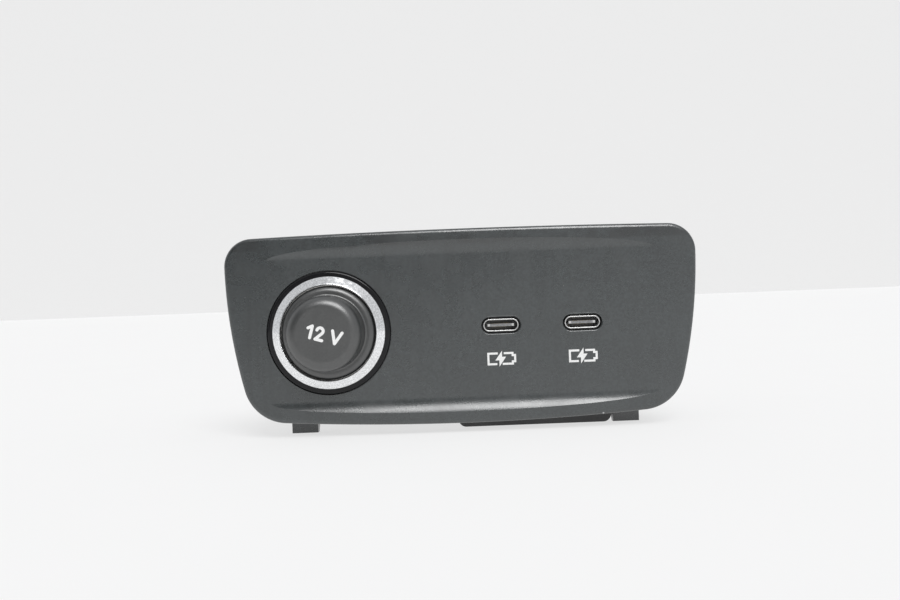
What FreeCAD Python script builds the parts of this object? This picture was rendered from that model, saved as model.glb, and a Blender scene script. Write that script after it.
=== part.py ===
import FreeCAD, Part
import math
import os

# Console panel with a 12 V socket and a charger module that has two USB-C ports.
# Units are millimetres. X runs to the right along the panel, Y to the rear and Z up.
# The origin is the middle of the panel's rear seating rim, which lies in the plane Y = 0.

# Panel outline: five kinds of arc, the same on the left and the right
PANEL_WIDTH = 119.45
PANEL_HEIGHT = 48.9
TOP_ARC_RADIUS = 2600.0
SIDE_ARC_RADIUS = 131.6
BOTTOM_ARC_RADIUS = 697.0
SIDE_UPRIGHT_Z = 18.1  # height at which the side arcs stand upright
TOP_CORNER_RADIUS = 7.1
BOTTOM_CORNER_RADIUS = 11.2

# Panel section
SKIRT_DEPTH = 8.0  # from the flat field back to the seating rim
PANEL_WALL = 2.4
SKIRT_WALL = 2.2
EDGE_RADIUS = 0.9
CROWN_RISE = 1.3  # how far the crowned face stands proud of the flat field at its middle
CROWN_SPAN = 98.0  # width over which it stands proud
TOP_LIP = 2.7  # lip left above the field at the middle
BOTTOM_LIP = 3.0
TOP_COVE_RADIUS = 6.0
BOTTOM_COVE_RADIUS = 6.0

# Panel rear: ribs, clip towers and lower hooks
RIB_WALL = 1.2
RIB_HEIGHT = 2.6
RIB_OFFSET = 8.0  # height of the two long ribs above and below the ports' middle
CROSS_RIB_GAP = 4.4  # between the cross rib and the module's left snap arm
TOWER_WIDTH = 8.0
TOWER_SIDE_GAP = 0.5  # between the right tower and the module's snap arm
TOWER_WALL = 2.2
TOWER_REACH = 14.0  # behind the seating rim
TOWER_DROP = 3.5  # below the inside of the skirt
GUSSET_LENGTH = 6.0
HOOK_WIDTH = 6.8
HOOK_WALL = 1.9
HOOK_GRIP = 2.5  # thickness of the console edge held between the rim and the hooks
HOOK_LIP = 4.0
HOOK_LEAD = 1.6  # sloped lead-in on the hook's rear
HOOK_ROOM = 0.4  # between the hook arm and the inside of the skirt
HOOK_SIDE_GAP = 0.5  # between the right hook and the charger module
STAND_DROP = 2.4  # from the panel's lower edge down to what the part stands on

# Spring clips
CLIP_THICKNESS = 0.5
CLIP_BEND = 0.5
CLIP_RISE = 3.4  # crest of the barb above the tower
CLIP_CREST_Y = 6.4
CLIP_FOOT_Y = 2.8
CLIP_FOOT_RISE = 1.2

# Socket position, shared by everything on its axis
SOCKET_SIDE = 26.05  # in from the panel's left end
SOCKET_DROP = 0.53  # below the panel's mid-height

# Socket sleeve, whose flange is the visible collar
COLLAR_RIM = 1.3  # black rim left round the trim ring
COLLAR_PROUD = 0.3
COLLAR_SEAT_DEPTH = 1.5
COLLAR_ROUND = 0.6
SLEEVE_WALL = 1.4
SLEEVE_SHORT = 5.9  # sleeve's end short of the barrel's end
LAND_LENGTH = 3.0  # close-fitting stretch behind the barrel's lip
BOSS_WALL = 2.0
BOSS_HEIGHT = 4.0
TONGUE_WIDTH = 6.0
TONGUE_LENGTH = 9.0
TONGUE_CATCH = 1.1
TONGUE_RAMP = 4.0
TONGUE_SLIT = 0.9
NUB_WIDTH = 5.0
NUB_LENGTH = 2.4
NUB_RISE = 0.9
NUB_SETBACK = 1.4  # from the sleeve's rear end

# Trim ring
RING_WIDTH = 2.2
RING_LAP = 0.6  # lap over the barrel's lip
RING_SEAT_DEPTH = 1.2
RING_PROUD = 0.15  # outer edge in front of the collar
RING_RISE = 1.6  # inner edge in front of the outer edge
RING_ROUND = 0.2

# Socket barrel
BORE_RADIUS = 10.6
BARREL_WALL = 0.7
BARREL_DEPTH = 39.0
BARREL_LIP = 1.3  # lip beyond the barrel's outside
BARREL_BEND = 0.4
BEAD_DEPTH = 16.0  # middle of the bead behind the lip
BEAD_WIDTH = 3.2
BEAD_RISE = 0.5
STEP_LENGTH = 4.4  # length of the narrow end
STEP_IN = 1.1
END_HOLE_RADIUS = 3.2

# Contact stack at the barrel's end
INSULATOR_RADIUS = 6.4
INSULATOR_WALL = 1.4
RIVET_RADIUS = 1.9
RIVET_HEAD_RADIUS = 4.2
RIVET_HEAD = 1.3
RIVET_TAIL_RADIUS = 3.0
RIVET_TAIL = 1.1
RIVET_ROUND = 0.7
REAR_WASHER_RADIUS = 4.6
REAR_WASHER = 1.2
BLADE_WIDTH = 6.3
BLADE_THICKNESS = 0.8
BLADE_BEND = 0.6
BLADE_X = 6.4  # blade middle from the socket axis
BLADE_TIP = 12.5  # behind the connector's inner wall
FOOT_LENGTH = 2.6  # negative terminal's welded foot

# Rear connector of the socket
CUP_WALL = 1.4
CUP_LAP = 6.0  # lap over the sleeve
CUP_BASE = 1.5
CUP_ROOM = 1.6  # from the rivet's tail to the inner wall
SHROUD_WIDTH = 20.6
SHROUD_HEIGHT = 12.6
SHROUD_WALL = 1.3
SHROUD_LENGTH = 14.0
SHROUD_ROUND = 1.5

# Cap
CAP_FLANGE = 2.9
CAP_FLANGE_ROUND = 1.5
KNOB_STEP = 2.55  # from the flange's rim in to the knob's wall
KNOB_HEIGHT = 10.5  # face in front of the flange
KNOB_ROUND = 2.6
KNOB_GROOVE = 0.5  # radius of the groove round the knob's foot
CAP_WALL = 1.6
PLUG_LENGTH = 13.0
PLUG_BEAD = 0.2
PLUG_BEAD_LENGTH = 2.4
PLUG_LEAD = 1.2  # chamfered lead-in at the plug's end
PLUG_SLOT = 2.2
PLUG_SLOT_LENGTH = 8.0

# USB-C receptacles
PORT_SIDE = 39.72  # middle of the two ports in from the panel's right end
PORT_DROP = 0.25  # below the panel's mid-height
PORT_PITCH = 20.55
SHELL_WIDTH = 8.94
SHELL_HEIGHT = 3.16
SHELL_WALL = 0.3
SHELL_ROUND = 0.1  # edges of the shell's mouth
SHELL_SETBACK = 0.4  # shell mouth behind the flat field
SLOT_GAP = 0.47  # panel slot round the shell
SLOT_CHAMFER = 0.3
TONGUE_SIDE_GAP = 0.82  # between the rails and the shell
TONGUE_PLATE_HEIGHT = 0.7
TONGUE_SETBACK = 0.9  # tongue tip behind the shell's mouth
TONGUE_BASE = 3.2
RAIL_WIDTH = 0.6
RAIL_HEIGHT = 0.64
RAIL_LENGTH = 3.6
MID_PLATE = 0.2
CONTACT_COUNT = 8
CONTACT_WIDTH = 0.3
CONTACT_DEPTH = 0.12
CONTACT_PROUD = 0.04
CONTACT_SETBACK = 0.6

# Charger module
MODULE_SHIFT = 1.8  # module middle to the left of the ports' middle
PORT_MARGIN = 5.25  # beside the outer ends of the shells
MODULE_WALL = 1.6
MODULE_MARGIN = 1.6  # between the skirt and the locating frame
MODULE_ROUND = 2.0
BLOCK_ROUND = 1.0
FRAME_HEIGHT = 3.0
FLANGE = 1.6
FLANGE_STEP = 1.2
HOUSING_DEPTH = 20.0
EAR_WIDTH = 9.0
EAR_REACH = 1.4
ARM_WALL = 1.6
ARM_CATCH = 1.0
ARM_RAMP = 2.2

# Circuit board, its parts, screws and supply connector
BOARD_THICKNESS = 1.6
BOARD_SETBACK = 6.6  # board behind the panel's wall
POST_RADIUS = 2.4
WELL_WALL = 1.0
WELL_FLOOR = 3.4
SCREW_RADIUS = 1.1
SCREW_HEAD_RADIUS = 2.0
SCREW_HEAD = 1.4
SCREW_BITE = 4.0  # below the board's front face
RECESS_SPAN = 2.2  # cross recess in the screw's head
RECESS_WIDTH = 0.5
RECESS_DEPTH = 0.8
INDUCTOR_COUNT = 2
INDUCTOR_SIZE = 7.0
INDUCTOR_HEIGHT = 5.0
INDUCTOR_PITCH = 11.0
CAPACITOR_COUNT = 4
CAPACITOR_RADIUS = 2.6
CAPACITOR_HEIGHT = 8.6
CAPACITOR_PITCH = 6.4
CHIP_COUNT = 3
CHIP_SIZE = 4.4
CHIP_HEIGHT = 1.0
CHIP_PITCH = 7.0
PIN_COUNT = 4
PIN_PITCH = 2.6
PIN_SIZE = 0.8
PIN_TIP = 5.8  # behind the housing's rear wall
PLUG_CAVITY_WIDTH = 14.0
PLUG_CAVITY_HEIGHT = 7.2
PLUG_SHROUD_WALL = 1.4
PLUG_SHROUD_LENGTH = 10.5
LATCH_WIDTH = 4.0
LATCH_RISE = 1.0
LATCH_LENGTH = 3.0

# Clearances
COLLAR_GAP = 0.2
SLEEVE_GAP = 0.2
NEST_GAP = 0.05  # parts of one assembly that nest in each other
BARREL_GAP = 0.1
CUP_GAP = 0.15
CAP_GAP = 0.2  # round the cap's moving plug
CAP_SEAT_GAP = 0.1
FRAME_GAP = 0.2
ARM_GAP = 0.2
BOARD_GAP = 0.3
SHELL_GAP = 0.12
HEAD_GAP = 0.2  # round a screw head in its well

# Planes and places worked out from the sizes above
V = FreeCAD.Vector
FIELD_Y = -SKIRT_DEPTH
BACK_Y = FIELD_Y + PANEL_WALL
ROOT_Y = BACK_Y - PANEL_WALL / 2  # inside the panel's wall, where its rear features start
CROWN_RADIUS = (CROWN_SPAN ** 2 / 4 + CROWN_RISE ** 2) / (2 * CROWN_RISE)
CROWN_Y = FIELD_Y - CROWN_RISE
TOP_Z = PANEL_HEIGHT / 2
FLOOR_Z = -PANEL_HEIGHT / 2 - STAND_DROP
SOCKET_X = SOCKET_SIDE - PANEL_WIDTH / 2
SOCKET_Z = -SOCKET_DROP
PORT_CENTRE_X = PANEL_WIDTH / 2 - PORT_SIDE
PORT_Z = -PORT_DROP

COLLAR_FRONT_Y = FIELD_Y - COLLAR_PROUD
COLLAR_SEAT_Y = FIELD_Y + COLLAR_SEAT_DEPTH
RING_SEAT_Y = COLLAR_FRONT_Y + RING_SEAT_DEPTH
BARREL_RADIUS = BORE_RADIUS + BARREL_WALL
SLEEVE_BORE = BARREL_RADIUS + BEAD_RISE + BARREL_GAP
SLEEVE_RADIUS = SLEEVE_BORE + SLEEVE_WALL
HOLE_RADIUS = SLEEVE_RADIUS + SLEEVE_GAP
BARREL_LIP_RADIUS = BARREL_RADIUS + BARREL_LIP
RING_INNER_RADIUS = BARREL_LIP_RADIUS - RING_LAP
RING_OUTER_RADIUS = RING_INNER_RADIUS + RING_WIDTH
COLLAR_RADIUS = RING_OUTER_RADIUS + NEST_GAP + COLLAR_RIM
BOSS_END_Y = BACK_Y + BOSS_HEIGHT
BARREL_END_Y = RING_SEAT_Y + BARREL_DEPTH
SLEEVE_END_Y = BARREL_END_Y - SLEEVE_SHORT
WASHER_END_Y = BARREL_END_Y + REAR_WASHER
TAIL_Y = WASHER_END_Y + BLADE_THICKNESS
CUP_WALL_Y = TAIL_Y + RIVET_TAIL + CUP_ROOM
CUP_END_Y = CUP_WALL_Y + CUP_BASE
BLADE_TIP_Y = CUP_WALL_Y + BLADE_TIP
CAP_FLANGE_RADIUS = RING_INNER_RADIUS - CAP_GAP
KNOB_RADIUS = CAP_FLANGE_RADIUS - KNOB_STEP
FLANGE_Y = RING_SEAT_Y - CAP_SEAT_GAP
PLUG_RADIUS = BORE_RADIUS - CAP_GAP - PLUG_BEAD
PLUG_END_Y = RING_SEAT_Y + PLUG_LENGTH

SHELL_FRONT_Y = FIELD_Y + SHELL_SETBACK
TONGUE_PLATE_WIDTH = SHELL_WIDTH - 2 * (SHELL_WALL + RAIL_WIDTH + TONGUE_SIDE_GAP)
CONTACT_PITCH = TONGUE_PLATE_WIDTH / (CONTACT_COUNT + 1)
PORT_XS = {"left": PORT_CENTRE_X - PORT_PITCH / 2, "right": PORT_CENTRE_X + PORT_PITCH / 2}
MODULE_X = PORT_CENTRE_X - MODULE_SHIFT
MODULE_HALF = (PORT_PITCH + SHELL_WIDTH) / 2 + PORT_MARGIN
BLOCK_HALF = TOP_Z - SKIRT_WALL - MODULE_MARGIN - RIB_WALL - FRAME_GAP
MODULE_TOP_Z = BLOCK_HALF + FLANGE_STEP
LID_Y = HOOK_GRIP
HOUSING_Y = LID_Y + FLANGE
HOUSING_END_Y = HOUSING_Y + HOUSING_DEPTH
BOARD_Y = BACK_Y + BOARD_SETBACK
BOARD_REAR_Y = BOARD_Y + BOARD_THICKNESS
WELL_RADIUS = SCREW_HEAD_RADIUS + HEAD_GAP
SCREW_INSET = MODULE_WALL + BOARD_GAP + WELL_RADIUS + WELL_WALL
SCREW_SPOTS = [
    (MODULE_X + side * (MODULE_HALF - SCREW_INSET), level * (BLOCK_HALF - SCREW_INSET))
    for side in (-1, 1)
    for level in (-1, 1)
]
PIN_Z = SCREW_INSET - BLOCK_HALF
CHIP_Z = (PIN_Z + PIN_SIZE / 2 - CAPACITOR_RADIUS) / 2
INDUCTOR_Z = (CAPACITOR_RADIUS + BLOCK_HALF - MODULE_WALL) / 2
HOOK_X = MODULE_X + MODULE_HALF + HOOK_SIDE_GAP + HOOK_WIDTH / 2
ARM_OUTER = MODULE_HALF + EAR_REACH + ARM_GAP + ARM_WALL
TOWER_X = MODULE_X + ARM_OUTER + TOWER_SIDE_GAP + TOWER_WIDTH / 2
TOWER_TOP_Z = TOP_Z - SKIRT_WALL - TOWER_DROP
CROSS_RIB_X = MODULE_X - ARM_OUTER - CROSS_RIB_GAP - RIB_WALL / 2


# Drawing helpers


def box(x0, x1, y0, y1, z0, z1):
    return Part.makeBox(x1 - x0, y1 - y0, z1 - z0, V(x0, y0, z0))


def rod(radius, y0, y1, x, z):
    """Round bar along Y."""
    return Part.makeCylinder(radius, y1 - y0, V(x, y0, z), V(0, 1, 0))


def tube(outer, inner, y0, y1, x, z):
    return rod(outer, y0, y1, x, z).cut(rod(inner, y0, y1, x, z))


def rounded_wire(corners, place):
    """Closed wire through (u, v, radius) corners, each rounded by its own radius.

    place turns a pair (u, v) into a point in space."""
    stops = []
    count = len(corners)
    for i, (u, v, radius) in enumerate(corners):
        corner = V(u, v, 0)
        to_last = (V(*corners[i - 1][:2], 0) - corner).normalize()
        to_next = (V(*corners[(i + 1) % count][:2], 0) - corner).normalize()
        if radius <= 0:
            stops.append((corner, None, corner))
            continue
        half = to_last.getAngle(to_next) / 2
        inward = (to_last + to_next).normalize()
        run = radius / math.tan(half)
        crest = corner + inward * (radius / math.sin(half) - radius)
        stops.append((corner + to_last * run, crest, corner + to_next * run))
    edges = []
    for i, (start, crest, end) in enumerate(stops):
        if crest is not None:
            points = [place(p.x, p.y) for p in (start, crest, end)]
            edges.append(Part.Arc(*points).toShape())
        following = stops[(i + 1) % count][0]
        if end.distanceToPoint(following) > 1e-6:
            edges.append(Part.makeLine(place(end.x, end.y), place(following.x, following.y)))
    return Part.Wire(edges)


def turned(corners, x, z):
    """Solid turned about the Y line through (x, z); corners are (radius, y, rounding)."""
    wire = rounded_wire(corners, lambda r, y: V(x + r, y, z))
    return Part.Face(wire).revolve(V(x, 0, z), V(0, 1, 0), 360)


def strip_corners(path, bend, thickness):
    """Corners of a bent strip about the middle line path; bend is the inside bend radius."""
    sides = ([], [])
    for i, (u, v) in enumerate(path):
        here = V(u, v, 0)
        back = (here - V(*path[i - 1], 0)).normalize() if i > 0 else None
        ahead = (V(*path[i + 1], 0) - here).normalize() if i + 1 < len(path) else None
        first = back or ahead
        second = ahead or back
        turn = first.cross(second).z
        miter = V(-first.y - second.y, first.x + second.x, 0).normalize()
        reach = thickness / 2 / miter.dot(V(-first.y, first.x, 0))
        for sign, side in zip((1, -1), sides):
            inside = sign * turn > 0
            radius = 0 if abs(turn) < 1e-9 else bend + (0 if inside else thickness)
            point = here + miter * (sign * reach)
            side.append((point.x, point.y, radius))
    return sides[0] + sides[1][::-1]


def rounded_box(x0, x1, y0, y1, z0, z1, radius):
    """Block whose four edges along Y are rounded."""
    corners = [(x0, z0, radius), (x1, z0, radius), (x1, z1, radius), (x0, z1, radius)]
    face = Part.Face(rounded_wire(corners, lambda x, z: V(x, y0, z)))
    return face.extrude(V(0, y1 - y0, 0))


def stadium_wire(width, height, y, x, z):
    """Slot outline with round ends."""
    half = width / 2 - height / 2
    rise = height / 2
    points = [V(x + s * half, y, z + t * rise) for s, t in ((-1, -1), (1, -1), (1, 1), (-1, 1))]
    right = Part.Arc(points[1], V(x + width / 2, y, z), points[2]).toShape()
    left = Part.Arc(points[3], V(x - width / 2, y, z), points[0]).toShape()
    bottom = Part.makeLine(points[0], points[1])
    top = Part.makeLine(points[2], points[3])
    return Part.Wire([bottom, right, top, left])


def stadium(width, height, y0, y1, x, z):
    return Part.Face(stadium_wire(width, height, y0, x, z)).extrude(V(0, y1 - y0, 0))


# Panel outline


def blend_centre(centre_a, radius_a, centre_b, radius_b, radius):
    """Middle of the corner arc that runs into two larger arcs from inside, on the right."""
    reach_a = radius_a - radius
    reach_b = radius_b - radius
    between = centre_b - centre_a
    span = between.Length
    along = (reach_a ** 2 - reach_b ** 2 + span ** 2) / (2 * span)
    across = math.sqrt(reach_a ** 2 - along ** 2)
    unit = between * (1 / span)
    middle = centre_a + unit * along
    aside = V(-unit.z, 0, unit.x) * across
    return max((middle + aside, middle - aside), key=lambda p: p.x)


TOP_CENTRE = V(0, 0, TOP_Z - TOP_ARC_RADIUS)
SIDE_CENTRE = V(PANEL_WIDTH / 2 - SIDE_ARC_RADIUS, 0, SIDE_UPRIGHT_Z)
BOTTOM_CENTRE = V(0, 0, BOTTOM_ARC_RADIUS - TOP_Z)
TOP_CORNER_CENTRE = blend_centre(
    TOP_CENTRE, TOP_ARC_RADIUS, SIDE_CENTRE, SIDE_ARC_RADIUS, TOP_CORNER_RADIUS
)
BOTTOM_CORNER_CENTRE = blend_centre(
    BOTTOM_CENTRE, BOTTOM_ARC_RADIUS, SIDE_CENTRE, SIDE_ARC_RADIUS, BOTTOM_CORNER_RADIUS
)


def towards(centre, target, radius):
    """Point at radius from centre, in the direction of target."""
    return centre + (target - centre).normalize() * radius


def panel_wire(inset, y):
    """Panel outline drawn in by inset, in the plane at y."""
    joins = [
        towards(TOP_CENTRE, TOP_CORNER_CENTRE, TOP_ARC_RADIUS - inset),
        towards(SIDE_CENTRE, TOP_CORNER_CENTRE, SIDE_ARC_RADIUS - inset),
        towards(SIDE_CENTRE, BOTTOM_CORNER_CENTRE, SIDE_ARC_RADIUS - inset),
        towards(BOTTOM_CENTRE, BOTTOM_CORNER_CENTRE, BOTTOM_ARC_RADIUS - inset),
    ]
    arcs = [
        (TOP_CORNER_CENTRE, TOP_CORNER_RADIUS - inset),
        (SIDE_CENTRE, SIDE_ARC_RADIUS - inset),
        (BOTTOM_CORNER_CENTRE, BOTTOM_CORNER_RADIUS - inset),
    ]
    right = []
    for (centre, radius), start, end in zip(arcs, joins, joins[1:]):
        crest = towards(centre, (start + end) * 0.5, radius)
        right.append((start, crest, end))
    mirror = [tuple(V(-p.x, 0, p.z) for p in arc[::-1]) for arc in right[::-1]]
    top = (mirror[-1][2], V(0, 0, TOP_Z - inset), joins[0])
    bottom = (joins[3], V(0, 0, inset - TOP_Z), mirror[0][0])
    loop = [top] + right + [bottom] + mirror
    depth = V(0, y, 0)
    return Part.Wire([Part.Arc(*(p + depth for p in arc)).toShape() for arc in loop])


def lower_edge_z(x):
    """Height of the panel's lower edge at x."""
    return BOTTOM_CENTRE.z - math.sqrt(BOTTOM_ARC_RADIUS ** 2 - x ** 2)


# Front panel


def panel_shell():
    """Crowned skin with its skirt, and the flat field sunk into it between two coves."""
    reach = CROWN_Y - EDGE_RADIUS
    prism = Part.Face(panel_wire(0, reach)).extrude(V(0, -reach, 0))
    axis = V(0, CROWN_Y + CROWN_RADIUS, -PANEL_HEIGHT)
    crown = Part.makeCylinder(CROWN_RADIUS, 2 * PANEL_HEIGHT, axis)
    shell = prism.common(crown)
    rim = [e for e in shell.Edges if e.BoundBox.YMax < BACK_Y]
    shell = shell.makeFillet(EDGE_RADIUS, rim)

    runs = [
        math.sqrt(max(2 * cove * CROWN_RISE - CROWN_RISE ** 2, 0))
        for cove in (BOTTOM_COVE_RADIUS, TOP_COVE_RADIUS)
    ]
    low = BOTTOM_LIP - TOP_Z + runs[0] - BOTTOM_COVE_RADIUS
    high = TOP_Z - TOP_LIP - runs[1] + TOP_COVE_RADIUS
    front = FIELD_Y - CROWN_RISE - BOTTOM_COVE_RADIUS
    corners = [
        (FIELD_Y, low, BOTTOM_COVE_RADIUS),
        (FIELD_Y, high, TOP_COVE_RADIUS),
        (front, high, 0),
        (front, low, 0),
    ]
    field = Part.Face(rounded_wire(corners, lambda y, z: V(-PANEL_WIDTH, y, z)))
    shell = shell.cut(field.extrude(V(2 * PANEL_WIDTH, 0, 0)))
    return shell.cut(panel_hollow(BACK_Y))


def panel_hollow(y0):
    """Room inside the skirt, from y0 back to the rim."""
    return Part.Face(panel_wire(SKIRT_WALL, y0)).extrude(V(0, -y0, 0))


def panel_ribs():
    """Two long ribs, a cross rib, the socket boss and the module's locating frame."""
    top = BACK_Y + RIB_HEIGHT
    half = RIB_WALL / 2
    bars = [
        box(-PANEL_WIDTH, PANEL_WIDTH, ROOT_Y, top, PORT_Z + s - half, PORT_Z + s + half)
        for s in (-RIB_OFFSET, RIB_OFFSET)
    ]
    bars.append(
        box(CROSS_RIB_X - half, CROSS_RIB_X + half, ROOT_Y, top, -PANEL_HEIGHT, PANEL_HEIGHT)
    )
    inside = Part.Face(panel_wire(SKIRT_WALL / 2, ROOT_Y)).extrude(V(0, -ROOT_Y, 0))
    ribs = [bar.common(inside) for bar in bars]
    ribs.append(rod(HOLE_RADIUS + BOSS_WALL, ROOT_Y, BOSS_END_Y, SOCKET_X, SOCKET_Z))
    across = MODULE_HALF + FRAME_GAP + RIB_WALL
    upright = BLOCK_HALF + FRAME_GAP + RIB_WALL
    ribs.append(
        rounded_box(
            MODULE_X - across,
            MODULE_X + across,
            ROOT_Y,
            BACK_Y + FRAME_HEIGHT,
            -upright,
            upright,
            BLOCK_ROUND + RIB_WALL,
        )
    )
    return ribs


def clip_tower(x):
    """Blade that carries a spring clip, with two gussets to the panel."""
    low = TOWER_TOP_Z - TOWER_WALL
    half = TOWER_WIDTH / 2
    outline = [
        (ROOT_Y, low, 0),
        (TOWER_REACH, low, CLIP_BEND),
        (TOWER_REACH, TOWER_TOP_Z, CLIP_BEND),
        (ROOT_Y, TOWER_TOP_Z, 0),
    ]
    profile = Part.Face(rounded_wire(outline, lambda y, z: V(x - half, y, z)))
    corners = [
        (ROOT_Y, low + TOWER_WALL / 2, 0),
        (ROOT_Y, low - GUSSET_LENGTH, 0),
        (BACK_Y, low - GUSSET_LENGTH, 0),
        (BACK_Y + GUSSET_LENGTH, low, 0),
        (BACK_Y + GUSSET_LENGTH, low + TOWER_WALL / 2, 0),
    ]
    tower = profile.extrude(V(TOWER_WIDTH, 0, 0))
    for start in (x - half, x + half - RIB_WALL):
        web = Part.Face(rounded_wire(corners, lambda y, z: V(start, y, z)))
        tower = tower.fuse(web.extrude(V(RIB_WALL, 0, 0)))
    return tower


def lower_hook(x):
    """Hook that takes the console's edge between its lip and the rim, and stands on the ground."""
    edge = max(lower_edge_z(x - HOOK_WIDTH / 2), lower_edge_z(x + HOOK_WIDTH / 2))
    low = edge + SKIRT_WALL + HOOK_ROOM
    high = low + HOOK_WALL
    lip_y = HOOK_GRIP
    end_y = HOOK_GRIP + HOOK_LIP
    start = ROOT_Y
    corners = [
        (start, low, 0),
        (lip_y, low, 0),
        (lip_y, FLOOR_Z, 0),
        (end_y - HOOK_LEAD, FLOOR_Z, 0),
        (end_y, FLOOR_Z + HOOK_LEAD, 0),
        (end_y, high, HOOK_WALL / 2),
        (start, high, 0),
    ]
    profile = Part.Face(rounded_wire(corners, lambda y, z: V(x - HOOK_WIDTH / 2, y, z)))
    hook = profile.extrude(V(HOOK_WIDTH, 0, 0))
    half = HOOK_WIDTH / 2
    root = box(x - half, x + half, start, -HOOK_ROOM, edge + SKIRT_WALL / 2, high)
    return hook.fuse(root)


def snap_arm(side):
    """Arm that catches behind the ear on one side of the charger module; side is -1 or 1."""
    ear = MODULE_HALF + EAR_REACH
    inner = ear + ARM_GAP
    catch_y = HOUSING_Y + NEST_GAP
    end_y = catch_y + ARM_RAMP
    corners = [
        (inner, ROOT_Y, 0),
        (ARM_OUTER, ROOT_Y, 0),
        (ARM_OUTER, end_y, 0),
        (inner, end_y, 0),
        (ear - ARM_CATCH, catch_y + ARM_RAMP / 4, 0),
        (ear - ARM_CATCH, catch_y, 0),
        (inner, catch_y, 0),
    ]
    low = PORT_Z - EAR_WIDTH / 2
    profile = Part.Face(rounded_wire(corners, lambda u, y: V(MODULE_X + side * u, y, low)))
    return profile.extrude(V(0, 0, EAR_WIDTH))


def front_panel():
    features = panel_ribs()
    for side in (-1, 1):
        features.append(clip_tower(side * TOWER_X))
        features.append(lower_hook(side * HOOK_X))
        features.append(snap_arm(side))
    panel = panel_shell().multiFuse(features)

    front = CROWN_Y - EDGE_RADIUS
    cuts = [
        rod(HOLE_RADIUS, front, BOSS_END_Y, SOCKET_X, SOCKET_Z),
        rod(COLLAR_RADIUS + COLLAR_GAP, front, COLLAR_SEAT_Y, SOCKET_X, SOCKET_Z),
        rounded_box(
            MODULE_X - MODULE_HALF - FRAME_GAP,
            MODULE_X + MODULE_HALF + FRAME_GAP,
            BACK_Y,
            0,
            -BLOCK_HALF - FRAME_GAP,
            BLOCK_HALF + FRAME_GAP,
            BLOCK_ROUND,
        ),
    ]
    width = SHELL_WIDTH + 2 * SLOT_GAP
    height = SHELL_HEIGHT + 2 * SLOT_GAP
    for x in PORT_XS.values():
        cuts.append(stadium(width, height, FIELD_Y, BACK_Y, x, PORT_Z))
        mouth = stadium_wire(
            width + 2 * SLOT_CHAMFER, height + 2 * SLOT_CHAMFER, FIELD_Y, x, PORT_Z
        )
        throat = stadium_wire(width, height, FIELD_Y + SLOT_CHAMFER, x, PORT_Z)
        cuts.append(Part.makeLoft([mouth, throat], True))
    return panel.cut(cuts).removeSplitter()


def spring_clip(x):
    """Sheet steel hairpin over a clip tower, with a barb that springs out behind the console."""
    low = TOWER_TOP_Z - TOWER_WALL - NEST_GAP - CLIP_THICKNESS / 2
    high = TOWER_TOP_Z + NEST_GAP + CLIP_THICKNESS / 2
    rear = TOWER_REACH + NEST_GAP + CLIP_THICKNESS / 2
    path = [
        (CLIP_FOOT_Y, low),
        (rear, low),
        (rear, high),
        (CLIP_CREST_Y, high + CLIP_RISE),
        (CLIP_FOOT_Y, high + CLIP_FOOT_RISE),
    ]
    corners = strip_corners(path, CLIP_BEND, CLIP_THICKNESS)
    face = Part.Face(rounded_wire(corners, lambda y, z: V(x - TOWER_WIDTH / 2, y, z)))
    return face.extrude(V(TOWER_WIDTH, 0, 0))


# Socket


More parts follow.
